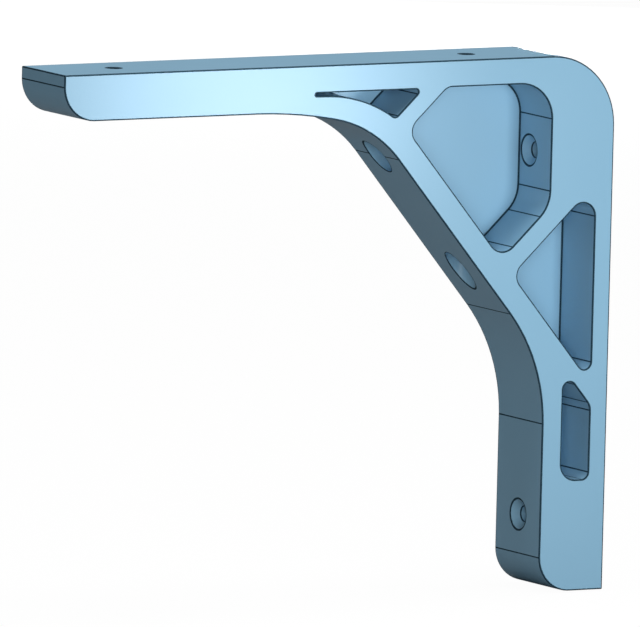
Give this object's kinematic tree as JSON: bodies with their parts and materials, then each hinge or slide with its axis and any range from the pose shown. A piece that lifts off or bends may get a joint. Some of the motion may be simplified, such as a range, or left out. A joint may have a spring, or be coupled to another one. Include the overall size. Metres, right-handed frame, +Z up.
{
  "type": "shelf bracket",
  "caption": "One-piece plastic shelf bracket with a braced arm, rounded pockets, countersunk screw holes and driver passages.",
  "frame": {"origin": "on the wall face, halfway between the two wall screws and at the middle of the bracket's width", "axes": "+X into the wall, so the arm reaches towards -X; +Y towards the plain back, away from the pockets; +Z up towards the shelf"},
  "size_m": [0.1755, 0.0244, 0.15],
  "materials": {
    "bracket": "satin moulded plastic, light steel blue"
  },
  "bodies": {
    "root": {"bracket": "bracket"}
  },
  "joints": []
}
